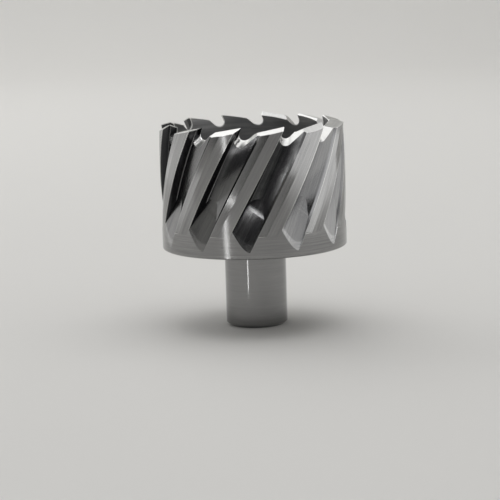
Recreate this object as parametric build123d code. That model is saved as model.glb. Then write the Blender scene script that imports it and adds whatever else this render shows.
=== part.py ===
from build123d import *
import math
import os

# Annular cutter, a hollow core drill ground from one bar of high speed steel.
# It stands on the end of its shank with the teeth up. The origin is the centre
# of the shank's end face. The tool turns clockwise seen from its shank, and its
# flutes climb to the right like the thread of a right-hand screw.

# Whole tool, mm
cutting_diameter = 57.15
overall_length = 63.8
wall_thickness = 4.5
cup_depth = 29.3
cup_floor_fillet = 1.5
shoulder_chamfer = 0.3

# Shank with its two flats and the bore of the pilot pin
shank_diameter = 19.05
shank_length = 24.7
shank_chamfer = 0.9
neck_fillet = 0.4
flat_depth = 0.65
flat_length = 14.0
flat_height = 4.5
flat_directions = (150.0, 240.0)
pilot_pin_diameter = 6.35
pilot_clearance = 0.15
bore_chamfer = 0.5

# Teeth and lands around the rim
tooth_count = 12
first_tooth_angle = -9.37
helix_angle = 29.0
land_width = 6.2
relief_width = 2.4
relief_depth = 0.19
relief_height = 6.8

# Cross-section of a flute
flute_depth = 2.45
heel_depth = 0.95
heel_bevel_width = 0.8
rake_lean = 17.0
foot_fillet = 0.4
floor_sag = 0.16

# Run-out where the flute climbs to the plain band
runout_corner_height = 8.4
runout_tip_height = 2.0
rake_ramp_length = 7.65
heel_ramp_length = 12.1
rake_ramp_depth = 2.67
heel_ramp_depth = 1.59
rake_floor_drop = 0.3
heel_floor_drop = 1.17
floor_stretch = 4.5
ramp_blend = 12.0
ramp_reach = 7.5
full_depth_from = 17.1

# Gullet ground through the wall ahead of each tooth
gullet_depth = 4.2
gullet_radius = 1.9
gullet_hook = 25.0
gullet_lean = 30.0
gullet_slope = 35.0
gullet_setback = 0.2
back_slope = 34.0

# Tooth tops, ground in four turns so that each tooth splits the chip
ridge_insets = (4.1, 3.4, 2.1, 4.2)
outer_bevels = (16.0, 13.5, 29.0, 9.0)
tip_drops = (0.2, 0.35, 0.0, 0.3)
inner_bevel = 20.0
top_relief = 9.5
top_lean = 8.0

# Overlap of a cutting body past the stock that it cuts, and over the teeth
past = 1.5
head_room = 5.0

outer_radius = cutting_diameter / 2
inner_radius = outer_radius - wall_thickness
shank_radius = shank_diameter / 2
bore_radius = (pilot_pin_diameter + pilot_clearance) / 2
pitch_angle = 360 / tooth_count
land_angle = math.degrees(land_width / outer_radius)
flute_angle = pitch_angle - land_angle
relief_angle = math.degrees(relief_width / outer_radius)
twist_per_mm = math.degrees(math.tan(math.radians(helix_angle)) / outer_radius)


def tangent(angle):
    return math.tan(math.radians(angle))


def rim_point(radius, angle, height=0.0):
    # Angles count from -Y towards +X, the way the teeth cut
    turn = math.radians(angle)
    return Vector(radius * math.sin(turn), -radius * math.cos(turn), height)


def rake_angle_at(height):
    # Where the cutting edge of the first land stands at this height
    return first_tooth_angle + twist_per_mm * (height - overall_length)


def blank():
    # Turned blank: shank and closed cup in one revolve
    shank = Pos(0, 0, shank_length / 2) * Cylinder(shank_radius, shank_length)
    shank = chamfer(shank.edges().sort_by(Axis.Z)[0], shank_chamfer)
    cup_height = overall_length - shank_length
    cup = Pos(0, 0, shank_length + cup_height / 2) * Cylinder(outer_radius, cup_height)
    cup = chamfer(cup.edges().sort_by(Axis.Z)[0], shoulder_chamfer)
    body = shank + cup
    neck = body.edges().filter_by(GeomType.CIRCLE).filter_by(
        lambda edge: abs(edge.center().Z - shank_length) < 0.01 and edge.radius < outer_radius / 2
    )
    return fillet(neck, neck_fillet)


def cup_hollow():
    # Room for the slug that the tool leaves in the hole
    hollow = Pos(0, 0, overall_length - cup_depth / 2) * Cylinder(inner_radius, cup_depth)
    hollow = fillet(hollow.edges().sort_by(Axis.Z)[0], cup_floor_fillet)
    over = Pos(0, 0, overall_length + past / 2) * Cylinder(inner_radius, past)
    return hollow + over


def pilot_bore():
    floor_height = overall_length - cup_depth
    bore = Pos(0, 0, floor_height / 2) * Cylinder(bore_radius, floor_height + 2 * past)
    mouth = Pos(0, 0, bore_chamfer / 2) * Cone(bore_radius + bore_chamfer, bore_radius, bore_chamfer)
    return bore + mouth


def holding_flats():
    # Two flats, a quarter turn apart, that the arbor's screws press on
    cutter = Pos(0, -shank_radius, flat_height + flat_length / 2) * Box(
        shank_diameter, 2 * flat_depth, flat_length
    )
    return [Rot(Z=direction) * cutter for direction in flat_directions]


def twisted(section, bottom, height):
    # Carry a section up the helix of the flutes
    start = Pos(0, 0, bottom) * Rot(Z=rake_angle_at(bottom)) * section
    turn = twist_per_mm * height
    return Solid.extrude_linear_with_rotation(start.faces()[0], (0, 0, bottom), (0, 0, height), turn)


def flute_section():
    # Steep rake wall, rounded foot, a floor that climbs to the next land, narrow heel bevel
    foot_angle = math.degrees(flute_depth * tangent(rake_lean) / (outer_radius - flute_depth))
    bevel_angle = math.degrees(heel_bevel_width / outer_radius)
    lip = rim_point(outer_radius, 0)
    foot = rim_point(outer_radius - flute_depth, foot_angle)
    rise = rim_point(outer_radius - heel_depth, flute_angle - bevel_angle)
    heel = rim_point(outer_radius, flute_angle)
    lip_out = lip + (lip - foot).normalized() * past
    heel_out = heel + (heel - rise).normalized() * past
    inward = -(foot + rise).normalized()
    sag = (foot + rise) / 2 + inward * floor_sag
    floor = ThreePointArc(foot, sag, rise)
    sides = Polyline(rise, heel_out, lip_out, foot)
    face = make_face(floor + sides)
    foot_corner = face.vertices().sort_by_distance(foot)[0]
    return fillet(foot_corner, foot_fillet)


def ramp_profile(length, depth, floor_drop):
    # Side view of the run-out: down the ramp to a blend, on along the floor of the
    # flute while it lasts, then well below that floor
    corner = (length, -depth)
    hinge = (length + floor_stretch, -depth - floor_drop)
    turn = math.atan2(depth, length) - math.atan2(floor_drop, floor_stretch)
    straight = length - ramp_blend * math.tan(abs(turn) / 2)
    # Half of the straight run again lies outside the rim, so the lofted ramp stays straight
    behind = straight / 2
    points = [
        (-behind, behind * depth / length),
        corner,
        hinge,
        (hinge[0] + overall_length, hinge[1] - overall_length),
        (hinge[0] + overall_length, head_room),
        (-behind, head_room),
    ]
    face = make_face(Polyline(*points, close=True))
    blend = face.vertices().sort_by_distance(Vector(*corner))[0]
    return fillet(blend, ramp_blend)


def runout_space():
    # Space above the ramp, lofted from its deep rake side to its shallow heel side
    corner_height = shank_length + runout_corner_height
    tip_height = shank_length + runout_tip_height
    corner_angle = rake_angle_at(corner_height)
    tip_angle = rake_angle_at(tip_height) + flute_angle
    corner = rim_point(outer_radius, corner_angle, corner_height)
    tip = rim_point(outer_radius, tip_angle, tip_height)
    along = (tip - corner).normalized()
    outward = rim_point(1, (corner_angle + tip_angle) / 2)
    up_flute = outward.cross(along)
    rake_side = Plane(corner - along * ramp_reach, x_dir=up_flute, z_dir=along)
    heel_side = Plane(tip + along * past, x_dir=up_flute, z_dir=along)
    deep = rake_side * ramp_profile(rake_ramp_length, rake_ramp_depth, rake_floor_drop)
    shallow = heel_side * ramp_profile(heel_ramp_length, heel_ramp_depth, heel_floor_drop)
    # Further up the flute keeps its full depth and drifts off to the rake side
    room = Box(overall_length, cutting_diameter, overall_length)
    upper = heel_side * Pos(full_depth_from + overall_length / 2, 0, -overall_length / 2) * room
    return loft([deep, shallow], ruled=True) + upper


def flute():
    bottom = shank_length
    channel = twisted(flute_section(), bottom, overall_length + past - bottom)
    return channel & runout_space()


def land_relief():
    # The back of each land is ground flat, a hair below the full diameter
    margin = rim_point(outer_radius, flute_angle + relief_angle)
    heel = rim_point(outer_radius - relief_depth, flute_angle)
    back = (heel - margin).normalized()
    start = margin - back * past / 2
    end = heel + back * past / 2
    outward = (margin + heel).normalized() * past
    face = make_face(Polyline(start, end, end + outward, start + outward, close=True))
    bottom = shank_length + relief_height
    return twisted(face, bottom, overall_length + past - bottom)


def rake_corner():
    return rim_point(outer_radius, 0, overall_length)


def inward_along_rake():
    lean = math.radians(rake_lean)
    return Vector(math.sin(lean), math.cos(lean), 0)


def gullet():
    # Hooked wall under the cutting edge, round bottom, long slope up to the next tooth
    hook = math.radians(gullet_hook)
    slope = math.radians(back_slope)
    down = (gullet_depth - gullet_radius * (1 + math.sin(hook))) / math.cos(hook)
    centre = Vector(
        gullet_radius * math.cos(hook) - down * math.sin(hook),
        gullet_radius - gullet_depth,
    )
    wall_foot = centre + Vector(-math.cos(hook), math.sin(hook)) * gullet_radius
    slope_foot = centre + Vector(math.sin(slope), -math.cos(slope)) * gullet_radius
    wall_rise = (head_room - wall_foot.Y) * math.tan(hook)
    slope_run = (head_room - slope_foot.Y) / math.tan(slope)
    wall_top = Vector(wall_foot.X + wall_rise, head_room)
    slope_top = Vector(slope_foot.X + slope_run, head_room)
    profile = make_face(Polyline(wall_foot, slope_foot, slope_top, wall_top, close=True))
    profile += Pos(centre.X, centre.Y) * Circle(gullet_radius)
    across_wall = wall_thickness / math.cos(math.radians(rake_lean))
    origin = rake_corner() + inward_along_rake() * across_wall
    outward = inward_along_rake() * -1
    forward = Vector(0, 0, 1).cross(outward)
    lean = math.radians(gullet_lean)
    fall = math.radians(gullet_slope)
    path = Vector(-math.sin(lean) * math.cos(fall), -math.cos(lean) * math.cos(fall), -math.sin(fall))
    plane = Plane(origin - forward * gullet_setback, x_dir=forward, z_dir=outward)
    placed = plane * profile
    lead_in = 2 * past
    length = lead_in + 2 * wall_thickness + 2 * past
    return extrude(Pos(*(path * -lead_in)) * placed, amount=length, dir=path)


def tooth_top(ridge_inset, outer_bevel, tip_drop):
    # Roof over one tooth: an outer and an inner bevel that meet in a ridge
    inner_end = wall_thickness + 2 * past
    points = [
        (-past, -(ridge_inset + past) * tangent(outer_bevel)),
        (ridge_inset, 0),
        (inner_end, -(inner_end - ridge_inset) * tangent(inner_bevel)),
        (inner_end, head_room),
        (-past, head_room),
    ]
    profile = make_face(Polyline(*points, close=True))
    inward = inward_along_rake()
    corner = rake_corner() - Vector(0, 0, tip_drop)
    plane = Plane(corner, x_dir=inward, z_dir=inward.cross(Vector(0, 0, 1)))
    lean = math.radians(top_lean)
    fall = math.radians(top_relief)
    path = Vector(-math.cos(lean) * math.cos(fall), math.sin(lean) * math.cos(fall), -math.sin(fall))
    length = land_width + 3 * past
    return extrude(Pos(*(path * -past)) * (plane * profile), amount=length, dir=path)


def cutter_body():
    body = blank() - cup_hollow() - pilot_bore()
    body -= holding_flats()
    flute_tool = flute()
    relief_tool = land_relief()
    gullet_tool = gullet()
    tooth_tools = [tooth_top(*grind) for grind in zip(ridge_insets, outer_bevels, tip_drops)]
    for number in range(tooth_count):
        turn = Rot(Z=pitch_angle * number)
        tip_turn = Rot(Z=first_tooth_angle + pitch_angle * number)
        body -= turn * flute_tool
        body -= turn * relief_tool
        body -= tip_turn * gullet_tool
        body -= tip_turn * tooth_tools[number % len(tooth_tools)]
    return body


os.makedirs("parts", exist_ok=True)
body = cutter_body()
body.label = "cutter_body"
export_step(body, "parts/cutter_body.step")
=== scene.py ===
# %% [markdown]
# # An annular cutter in ground high speed steel
# This lesson dresses a hollow core drill. It is one piece of steel: a round shank below,
# a toothed cup above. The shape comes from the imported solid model, and what is made here
# is its finish: grinding marks that follow the flutes, the lands, the bore and the teeth.

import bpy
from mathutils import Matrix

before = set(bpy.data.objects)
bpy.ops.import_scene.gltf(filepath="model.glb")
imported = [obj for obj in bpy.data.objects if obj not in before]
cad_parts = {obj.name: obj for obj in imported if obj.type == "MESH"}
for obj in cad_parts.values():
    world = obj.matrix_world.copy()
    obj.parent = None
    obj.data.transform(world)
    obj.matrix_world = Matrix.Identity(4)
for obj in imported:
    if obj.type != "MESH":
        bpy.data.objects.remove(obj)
print("solids in the frame:", sorted(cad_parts))

# %% Modules and the millimetres in a metre, before anything is added
import math

import bpy
import bmesh
from mathutils import Matrix, Vector

MM_IN_METRE = 1000.0
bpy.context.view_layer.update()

# %% [markdown]
# ## Camera
# The tool was photographed with a long lens from a little above the teeth. A long lens
# keeps the cup's sides nearly parallel. The camera stands straight in front of the tool,
# looks down by nine degrees, and is rolled by less than two, because the tool leans a
# hair to the left in its picture. A constraint could aim it at a target, but it would
# undo the roll, so its three axes are worked out and set as one matrix.

# %% Where the camera stands, in metres and radians, and its lens, in millimetres
CAMERA_DISTANCE = 0.5776
CAMERA_HEIGHT = 0.1174
LOOKING_DOWN = 0.162
ROLL = -0.030
LENS = 135.4
SENSOR = 36.0
SHIFT = -0.0102

camera_data = bpy.data.cameras.new("camera")
camera_data.lens = LENS
camera_data.sensor_width = SENSOR
camera_data.shift_x = SHIFT
camera = bpy.data.objects.new("camera", camera_data)
bpy.context.scene.collection.objects.link(camera)
print("lens, mm:", LENS)

# %% Aim the camera
level_right = Vector((1, 0, 0))
level_up = Vector((0, math.sin(LOOKING_DOWN), math.cos(LOOKING_DOWN)))
back = Vector((0, -math.cos(LOOKING_DOWN), math.sin(LOOKING_DOWN)))
right = math.cos(ROLL) * level_right + math.sin(ROLL) * level_up
up = math.cos(ROLL) * level_up - math.sin(ROLL) * level_right
turn = Matrix((right, up, back)).transposed()
place = Vector((0, -CAMERA_DISTANCE, CAMERA_HEIGHT))
camera.matrix_world = Matrix.Translation(place) @ turn.to_4x4()
bpy.context.scene.camera = camera
print("camera at", [round(v, 3) for v in place])

# %% [markdown]
# ## Colours and nodes
# Colours are written as the hex values that a colour picker shows. Cycles works in linear
# light, so one function turns them round. Another adds a node and fills its inputs, in
# order or by name, with plain numbers or with what an earlier node gives. A whole node
# stands for its first output. The nodes could be laid out by hand in the shader editor,
# but written down, each material reads as a list of what it is made of.


# %% Helpers for materials
def linear(hex_colour):
    channels = [int(hex_colour[i : i + 2], 16) / 255 for i in (1, 3, 5)]
    curve = [c / 12.92 if c < 0.04045 else ((c + 0.055) / 1.055) ** 2.4 for c in channels]
    return (*curve, 1.0)


def add(tree, kind, *values, inputs=None, **settings):
    node = tree.nodes.new("ShaderNode" + kind)
    for name, value in settings.items():
        setattr(node, name, value)
    in_use = [socket for socket in node.inputs if socket.enabled]
    joins = list(zip(in_use, values))
    joins += [(node.inputs[name], value) for name, value in (inputs or {}).items()]
    for socket, value in joins:
        if isinstance(value, bpy.types.Node):
            value = next(output for output in value.outputs if output.enabled)
        if isinstance(value, bpy.types.NodeSocket):
            tree.links.new(value, socket)
        else:
            socket.default_value = value
    return node


def new_material(name):
    material = bpy.data.materials.new(name)
    material.use_nodes = True
    material.node_tree.nodes.clear()
    return material, material.node_tree


print("mid grey #808080 is", round(linear("#808080")[0], 3), "in linear light")

# %% [markdown]
# ## Ground high speed steel
# High speed steel is hard, neutral and a little darker than stainless. Every face of this
# tool is cut or ground, and each machine leaves its own marks:
# - band, inner wall and shank: turned and ground, marks run level round the tool
# - lands and flutes: a wheel follows the helix, marks run up the flute
# - shoulder and cup floor: faced, marks are circles round the axis
# - tooth tops and gullets: ground last, marks cross the wall, and the steel is painted near
#   white, a painted highlight
#
# The marks could be painted on an image, but that needs nearly two hundred faces laid out
# flat. Here they all come from the object's own coordinates, turned into a radius, a
# length round the tool and a height. A stretched noise along each direction is the marks,
# and masks choose which marks a face gets.

# %% Sizes on the tool, in millimetres
OUTER_RADIUS = 28.575
INNER_RADIUS = 24.075
SHANK_RADIUS = 9.525
SHOULDER_HEIGHT = 24.7
RELIEF_HEIGHT = 31.5
GULLET_HEIGHT = 57.5
HELIX = math.radians(29.0)
TWIST = math.tan(HELIX) / OUTER_RADIUS
print("twist of the flutes, degrees per mm:", round(math.degrees(TWIST), 3))

# %% Radius, angle and height on the tool
steel, tree = new_material("ground_high_speed_steel")

position = add(tree, "TexCoord").outputs["Object"]
in_mm = add(tree, "VectorMath", position, MM_IN_METRE, operation="SCALE")
x, y, z = add(tree, "SeparateXYZ", in_mm).outputs
in_plan = add(tree, "VectorMath", in_mm, (1, 1, 0), operation="MULTIPLY")
radius = add(tree, "VectorMath", in_plan, operation="LENGTH")
towards_front = add(tree, "Math", y, -1.0, operation="MULTIPLY")
angle = add(tree, "Math", x, towards_front, operation="ARCTAN2")
round_tool = add(tree, "Math", angle, OUTER_RADIUS, operation="MULTIPLY")
climb = add(tree, "Math", z, TWIST, operation="MULTIPLY")
from_flute = add(tree, "Math", angle, climb, operation="SUBTRACT")
round_flute = add(tree, "Math", from_flute, OUTER_RADIUS, operation="MULTIPLY")
print("radius, angle and height take", len(tree.nodes), "nodes")

# %% [markdown]
# ## Grinding marks
# A wheel's real marks are a few hundredths of a millimetre wide. They are drawn more than
# a tenth wide here, because finer ones would be lost between two pixels of the render.
# Wider bands, almost a millimetre, are the passes of the wheel side by side.

# %% Widths and lengths of the marks, in millimetres
WHEEL_MARK = 0.16
LEVEL_MARK = 0.12
FACED_MARK = 0.14
MARK_LENGTH = 14.0
PASS_WIDTH = 0.9
FLUTE_PASS_LENGTH = 56.0
LEVEL_PASS_LENGTH = 112.0

# Each set: the measure across its marks and along them, their width and length, a seed
mark_sets = {
    "flute": (round_flute, z, WHEEL_MARK, MARK_LENGTH, 3.0),
    "level": (z, round_tool, LEVEL_MARK, MARK_LENGTH, 11.0),
    "faced": (radius, round_tool, FACED_MARK, MARK_LENGTH, 23.0),
    "tooth": (round_tool, radius, WHEEL_MARK, MARK_LENGTH, 31.0),
    "flute_pass": (round_flute, z, PASS_WIDTH, FLUTE_PASS_LENGTH, 43.0),
    "level_pass": (z, round_tool, PASS_WIDTH, LEVEL_PASS_LENGTH, 57.0),
}
print(len(mark_sets), "sets of marks, the finest", LEVEL_MARK, "mm wide")

# %% Draw the marks as stretched noise
marks = {}
for name, (across, along, width, length, seed) in mark_sets.items():
    in_widths = add(tree, "Math", across, width, operation="DIVIDE")
    in_lengths = add(tree, "Math", along, length, operation="DIVIDE")
    point = add(tree, "CombineXYZ", in_widths, in_lengths, seed)
    noise = {"Vector": point, "Scale": 1.0, "Detail": 3.0, "Roughness": 0.6}
    marks[name] = add(tree, "TexNoise", inputs=noise)
print(steel.name, "has", len(tree.nodes), "nodes so far")

# %% [markdown]
# ## Which face is this?
# A mask is a number from zero to one. Each face could get a slot of its own instead, but
# the solid comes with one. The radius tells the shank, the inner wall and the outside
# apart, and the height tells the band, the lands and the teeth. The direction of a face
# tells the rest: a rake wall faces forward round the tool, a tooth top faces up.

# %% How far a face looks outward, upward and forward round the tool
UP = (0, 0, 1)
normal = add(tree, "NewGeometry").outputs["True Normal"]
out_of_tool = add(tree, "VectorMath", in_plan, operation="NORMALIZE")
round_the_tool = add(tree, "VectorMath", UP, out_of_tool, operation="CROSS_PRODUCT")
outward, upward, forward = [
    add(tree, "VectorMath", normal, direction, operation="DOT_PRODUCT")
    for direction in (out_of_tool, UP, round_the_tool)
]
out_or_in = add(tree, "Math", outward, operation="ABSOLUTE")
up_or_down = add(tree, "Math", upward, operation="ABSOLUTE")
print("with the directions,", len(tree.nodes), "nodes so far")

# %% Smooth steps: what is measured, where the step starts, and where it is full
steps = {
    "outside": (radius, INNER_RADIUS + 0.1, INNER_RADIUS + 0.3),
    "inside": (radius, INNER_RADIUS + 0.2, INNER_RADIUS + 0.1),
    "below_lands": (radius, OUTER_RADIUS - 0.2, OUTER_RADIUS - 0.3),
    "slim": (radius, SHANK_RADIUS + 0.3, SHANK_RADIUS + 0.2),
    "below_shoulder": (z, SHOULDER_HEIGHT, SHOULDER_HEIGHT - 0.1),
    "below_cup": (z, SHOULDER_HEIGHT + 0.3, SHOULDER_HEIGHT + 0.1),
    "above_cup_floor": (z, SHOULDER_HEIGHT + 1.0, SHOULDER_HEIGHT + 1.1),
    "above_band": (z, RELIEF_HEIGHT - 0.1, RELIEF_HEIGHT + 0.1),
    "above_gullets": (z, GULLET_HEIGHT, GULLET_HEIGHT + 0.3),
    "leaning": (outward, 0.995, 0.985),
    "turned_aside": (out_or_in, 0.75, 0.6),
    "tipped_up": (upward, 0.02, 0.15),
    "facing_up": (upward, 0.5, 0.6),
    "level": (up_or_down, 0.9, 0.97),
    "tipped_forward": (forward, -0.1, 0.1),
    "facing_forward": (forward, 0.55, 0.8),
}
mask = {
    name: add(tree, "MapRange", *step, interpolation_type="SMOOTHSTEP")
    for name, step in steps.items()
}
print(len(mask), "steps")

# %% Parts of the tool, each where all of its steps are full
parts = {
    "flute": ("outside", "below_lands"),
    "land": ("outside", "above_band"),
    "ramp": ("outside", "leaning"),
    "hook": ("tipped_up", "tipped_forward", "turned_aside"),
    "shank": ("slim", "below_shoulder"),
    "inner_wall": ("inside", "above_cup_floor"),
}
for part, (first, *others) in parts.items():
    mask[part] = mask[first]
    for other in others:
        mask[part] = add(tree, "Math", mask[part], mask[other], operation="MULTIPLY")
print("parts:", list(parts))

# %% Faces along the helix, teeth and rake walls
flute_or_land = add(tree, "Math", mask["flute"], mask["land"], operation="MAXIMUM")
mask["helix"] = add(tree, "Math", mask["ramp"], flute_or_land, operation="MAXIMUM")
hook_or_top = add(tree, "Math", mask["hook"], mask["facing_up"], operation="MAXIMUM")
mask["teeth"] = add(tree, "Math", hook_or_top, mask["above_gullets"], operation="MULTIPLY")
not_teeth = add(tree, "Math", 1.0, mask["teeth"], operation="SUBTRACT")
mask["flute"] = add(tree, "Math", mask["flute"], not_teeth, operation="MULTIPLY")
mask["rake"] = add(tree, "Math", mask["flute"], mask["facing_forward"], operation="MULTIPLY")
print(len(mask), "masks,", len(tree.nodes), "nodes so far")

# %% Give each face its marks
all_marks = add(tree, "Mix", mask["helix"], marks["level"], marks["flute"])
all_marks = add(tree, "Mix", mask["teeth"], all_marks, marks["tooth"])
all_marks = add(tree, "Mix", mask["level"], all_marks, marks["faced"])
passes = add(tree, "Mix", mask["helix"], marks["level_pass"], marks["flute_pass"])
print("marks shared out,", len(tree.nodes), "nodes so far")

# %% The shank is polished after grinding, which leaves its marks faint
MIDDLE = 0.5
MARKS_LEFT = 0.3
PASSES_LEFT = 0.4
faint_marks = add(tree, "Mix", MARKS_LEFT, MIDDLE, all_marks)
faint_passes = add(tree, "Mix", PASSES_LEFT, MIDDLE, passes)
all_marks = add(tree, "Mix", mask["shank"], all_marks, faint_marks)
passes = add(tree, "Mix", mask["shank"], passes, faint_passes)
print("marks left on the shank:", MARKS_LEFT)

# %% [markdown]
# ## Colour
# Lands and band are plain ground steel. The flutes are a shade darker. The rake walls, which
# face forward round the tool, are painted darker still: painted shade. The teeth are ground
# last, and are painted nearly white where they face up: a painted highlight. Each part gets
# a dark and a light shade, and the marks choose between the two, so that the grain shows in
# soft light as well.

# %% Colour of the steel, between the dark and the light of its grain
PASS_SHARE = 0.4
DARK_GRAIN = 0.3
LIGHT_GRAIN = 0.7
shade = add(tree, "Mix", PASS_SHARE, all_marks, passes)
grain = add(
    tree, "MapRange", shade, DARK_GRAIN, LIGHT_GRAIN, interpolation_type="SMOOTHSTEP"
)
colour = add(tree, "Mix", grain, linear("#7C7C7D"), linear("#9B9B9A"), data_type="RGBA")
for part, dark, light in (
    ("flute", "#646466", "#828281"),
    # rake walls: a darker tint, painted shade
    ("rake", "#3C3C3E", "#505051"),
    # teeth: a near-white tint where tooth tops and hooks face up, a painted highlight
    ("teeth", "#BDBDBC", "#D2D2CF"),
):
    tint = add(tree, "Mix", grain, linear(dark), linear(light), data_type="RGBA")
    colour = add(tree, "Mix", mask[part], colour, tint, data_type="RGBA")
print("lightest steel, in linear light:", round(linear(light)[0], 2))

# %% [markdown]
# ## Painted shade in corners, painted highlights on edges
# The steel's colour is painted darker where its neighbour is near, in the foot of a flute
# and
# in other corners: this is painted shade. Edges are painted lighter: this is a painted
# highlight. Both could be painted by hand, but ambient occlusion finds them by itself. It
# looks five millimetres round each point for a corner, and a third of one inside the steel
# for an edge, and a low number means that steel, or the edge, is near. The painted shade is
# left off the teeth and off the shank below the cup.

# %% Painted shade in corners
CORNER_REACH = 0.005
LOOKS = 8
FULL_SHADE_AT = 0.55
NO_SHADE_AT = 0.97
corner = add(
    tree,
    "AmbientOcclusion",
    inputs={"Distance": CORNER_REACH},
    samples=LOOKS,
    only_local=True,
).outputs["AO"]
unshaded = add(tree, "MapRange", corner, FULL_SHADE_AT, NO_SHADE_AT, interpolation_type="SMOOTHSTEP")
for part in ("teeth", "below_cup"):
    unshaded = add(tree, "Math", unshaded, mask[part], operation="MAXIMUM")
# Painted shade: the steel's colour goes to near black where another face is near
colour = add(tree, "Mix", unshaded, linear("#222224"), colour, data_type="RGBA")
print("corners are looked for, mm:", CORNER_REACH * MM_IN_METRE)

# %% Painted highlight on edges
EDGE_REACH = 0.0003
NO_HIGHLIGHT_AT = 0.9
FULL_HIGHLIGHT_AT = 0.6
edge = add(
    tree,
    "AmbientOcclusion",
    inputs={"Distance": EDGE_REACH},
    samples=LOOKS,
    inside=True,
    only_local=True,
).outputs["AO"]
edge_highlight = add(tree, "MapRange", edge, NO_HIGHLIGHT_AT, FULL_HIGHLIGHT_AT, interpolation_type="SMOOTHSTEP")
# Painted highlight: the steel's colour goes to near white along edges
colour = add(tree, "Mix", edge_highlight, colour, linear("#E2E2E0"), data_type="RGBA")
print("edges are looked for, mm:", EDGE_REACH * MM_IN_METRE)

# %% [markdown]
# ## Gloss
# Ground steel is a soft mirror. The shank is polished for its sleeve and mirrors best. The
# teeth come from a coarse wheel, the inner wall is only turned, and dust in the deepest
# corners is matt. The depth of the marks is two hundredths of a millimetre.

# %% Roughness of each part
BRIGHT_GRAIN = 0.12
DULL_GRAIN = 0.21
MATT_DUST = 0.5
DEEPEST = 0.5
LESS_DEEP = 0.65
spread = DULL_GRAIN - BRIGHT_GRAIN
gloss = add(tree, "Math", grain, spread, BRIGHT_GRAIN, operation="MULTIPLY_ADD")
# Each part: how many times as rough, and how much is added
for part, factor, extra in (
    ("shank", 0.6, 0.0),
    ("inner_wall", 1.0, 0.2),
    ("teeth", 1.0, 0.16),
):
    changed = add(tree, "Math", gloss, factor, extra, operation="MULTIPLY_ADD")
    gloss = add(tree, "Mix", mask[part], gloss, changed)
dust_free = add(
    tree, "MapRange", corner, DEEPEST, LESS_DEEP, interpolation_type="SMOOTHSTEP"
)
gloss = add(tree, "Mix", dust_free, MATT_DUST, gloss)
print("roughness of ground steel:", BRIGHT_GRAIN, "to", DULL_GRAIN)

# %% Depth of the marks, and the steel put together
MARK_DEPTH = 0.00002
MARK_STRENGTH = 0.35
relief = {"Strength": MARK_STRENGTH, "Distance": MARK_DEPTH, "Height": all_marks}
bump = add(tree, "Bump", inputs=relief)
ground = {"Base Color": colour, "Metallic": 1.0, "Roughness": gloss, "Normal": bump}
add(tree, "OutputMaterial", add(tree, "BsdfPrincipled", inputs=ground))
print(steel.name, "has", len(tree.nodes), "nodes")

# %% Put the steel on the solid
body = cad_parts["cutter_body"]
for slot in body.material_slots:
    slot.material = steel
print(body.name, "wears", body.material_slots[0].material.name)

# %% [markdown]
# ## Floor and backdrop
# The tool stands on a pale matt cove, like the ones that photographers build: a flat floor
# that curves up into a round wall at the back and both sides, so no line shows behind the
# tool. It is open towards the camera, where the floor runs on into a dim room. A bent sheet
# would do for one view, but a round wall holds for every side. So a side view of the wall
# is drawn as a few points and spun round the tool, and a straight line is spun through
# the open part.

# %% Sizes of the cove, in metres
CENTRE = (0, 0, 0)
FLOOR_RADIUS = 1.1
BEND_RADIUS = 0.5
BEND_STEPS = 24
WALL_TOP = 1.3
OPENING = math.radians(60)
FRONT_REACH = 8.0
TURN_STEPS = 104
FRONT_STEPS = 20
SAME_POINT = 1e-6
print("cove across, m:", 2 * (FLOOR_RADIUS + BEND_RADIUS))

# %% Side view of the wall: floor, bend and rise
cove_mesh = bmesh.new()
middle = cove_mesh.verts.new(CENTRE)
bend_foot = cove_mesh.verts.new((0, -FLOOR_RADIUS, 0))
cove_mesh.edges.new((middle, bend_foot))
bend = bmesh.ops.spin(
    cove_mesh,
    geom=[bend_foot],
    cent=(0, -FLOOR_RADIUS, BEND_RADIUS),
    axis=(1, 0, 0),
    angle=-math.pi / 2,
    steps=BEND_STEPS,
    use_merge=False,
)
bend_top = [v for v in bend["geom_last"] if isinstance(v, bmesh.types.BMVert)][0]
rise = bmesh.ops.extrude_vert_indiv(cove_mesh, verts=[bend_top])
bmesh.ops.translate(cove_mesh, verts=rise["verts"], vec=(0, 0, WALL_TOP - BEND_RADIUS))
print("side view has", len(cove_mesh.verts), "points")


# %% Spin the wall and the open floor
def spin_line(mesh, verts, edges, start, sweep, steps):
    bmesh.ops.rotate(mesh, verts=verts, cent=CENTRE, matrix=Matrix.Rotation(start, 3, "Z"))
    bmesh.ops.spin(
        mesh,
        geom=verts + edges,
        cent=CENTRE,
        axis=(0, 0, 1),
        angle=sweep,
        steps=steps,
        use_merge=False,
    )


wall_sweep = 2 * (math.pi - OPENING)
spin_line(cove_mesh, cove_mesh.verts[:], cove_mesh.edges[:], OPENING, wall_sweep, TURN_STEPS)
front_ends = [cove_mesh.verts.new(CENTRE), cove_mesh.verts.new((0, -FRONT_REACH, 0))]
front_line = cove_mesh.edges.new(front_ends)
spin_line(cove_mesh, front_ends, [front_line], -OPENING, 2 * OPENING, FRONT_STEPS)
bmesh.ops.remove_doubles(cove_mesh, verts=cove_mesh.verts[:], dist=SAME_POINT)
print("cove has", len(cove_mesh.faces), "faces")

# %% A spin can turn faces inside out: turn any such face to the tool, and place the cove
seen_from = Vector((0, 0, BEND_RADIUS))
cove_mesh.normal_update()
turned_away = [
    face
    for face in cove_mesh.faces
    if face.normal.dot(seen_from - face.calc_center_median()) < 0
]
bmesh.ops.reverse_faces(cove_mesh, faces=turned_away)
for face in cove_mesh.faces:
    face.smooth = True
cove_data = bpy.data.meshes.new("cove")
cove_mesh.to_mesh(cove_data)
cove_mesh.free()
cove = bpy.data.objects.new("cove", cove_data)
bpy.context.scene.collection.objects.link(cove)
print("faces that looked away:", len(turned_away))

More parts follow.
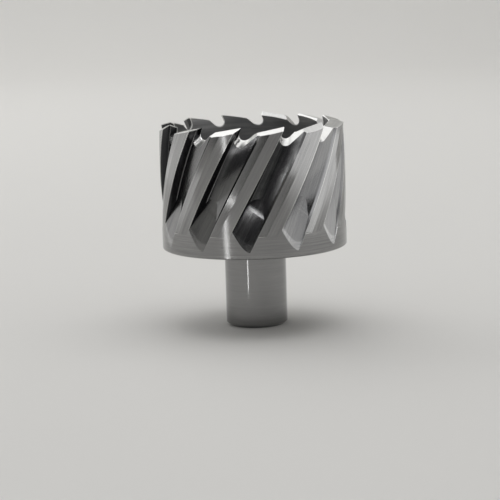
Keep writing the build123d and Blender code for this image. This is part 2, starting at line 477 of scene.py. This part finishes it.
# %% Pale matt paper, which scatters light evenly and mirrors nothing
paper, tree = new_material("pale_matt_paper")
matt = {"Base Color": linear("#DCDBD8"), "Roughness": 0.75, "Specular IOR Level": 0.0}
add(tree, "OutputMaterial", add(tree, "BsdfPrincipled", inputs=matt))
cove_data.materials.append(paper)
print(cove.name, "wears", paper.name)

# %% [markdown]
# ## Light
# Ground steel shows what stands round it, so each lamp is placed for the face that mirrors
# it. The soft boxes overhead, at the back left and in front whiten the tooth tops and the
# gullets. Two low boxes at the sides light the flutes that face sideways. A thin strip at
# the left draws the bright line down the band and the shank, and a small lamp over the
# camera lights the curve where the middle flute runs out. The low flutes in front mirror
# the dim room, and stay dark. One picture of a studio could light it all, but lamps can be
# moved one at a time.
#
# Lamps are given by the brightness that they have in a mirror, where one is white, and
# their power follows from their size. The ones that stand close light the steel alone, so
# that their edges draw no line on the paper.


# %% A soft box, from its place, aim and size in metres and its brightness
def soft_box(name, place, aim, size, brightness):
    lamp = bpy.data.lights.new(name, "AREA")
    lamp.shape = "RECTANGLE"
    lamp.size, lamp.size_y = size
    lamp.energy = brightness * math.pi * size[0] * size[1]
    box = bpy.data.objects.new(name, lamp)
    box.location = place
    direction = Vector(aim) - Vector(place)
    box.rotation_euler = direction.to_track_quat("-Z", "Y").to_euler()
    bpy.context.scene.collection.objects.link(box)
    print(name, "power, W:", round(lamp.energy, 4))
    return box


# %% Large boxes for the tool and the paper
TOOL = (0, 0, 0.05)
soft_box("back_box", (-0.62, 0.92, 0.88), TOOL, (1.5, 0.8), 1.4)
soft_box("overhead", (0.10, 0.15, 1.5), TOOL, (1.6, 1.5), 1.1)
soft_box("ceiling", (0, 0, 6.0), CENTRE, (16.0, 16.0), 0.5)

# %% Close boxes, for the steel alone
for_steel = [
    soft_box("left_box", (-0.30, 0.22, 0.14), (0, 0.22, 0.12), (0.60, 0.28), 0.5),
    soft_box("right_box", (0.30, -0.08, 0.14), (0, -0.08, 0.12), (0.56, 0.28), 1.1),
    soft_box("front_box", (0.05, -0.743, 0.714), TOOL, (0.9, 0.93), 1.7),
    soft_box("camera_lamp", (-0.04, -0.543, 0.225), TOOL, (0.07, 0.03), 5.0),
    soft_box("strip", (-0.034, -0.065, 0.06), (0, 0, 0.06), (0.002, 0.12), 5.0),
]
for box in for_steel:
    box.visible_diffuse = False

# %% A dim room round it all
world = bpy.data.worlds.new("dim_room")
world.use_nodes = True
world.node_tree.nodes["Background"].inputs["Color"].default_value = linear("#38383A")
bpy.context.scene.world = world
bpy.context.scene.view_settings.view_transform = "Standard"
print("view:", bpy.context.scene.view_settings.view_transform)
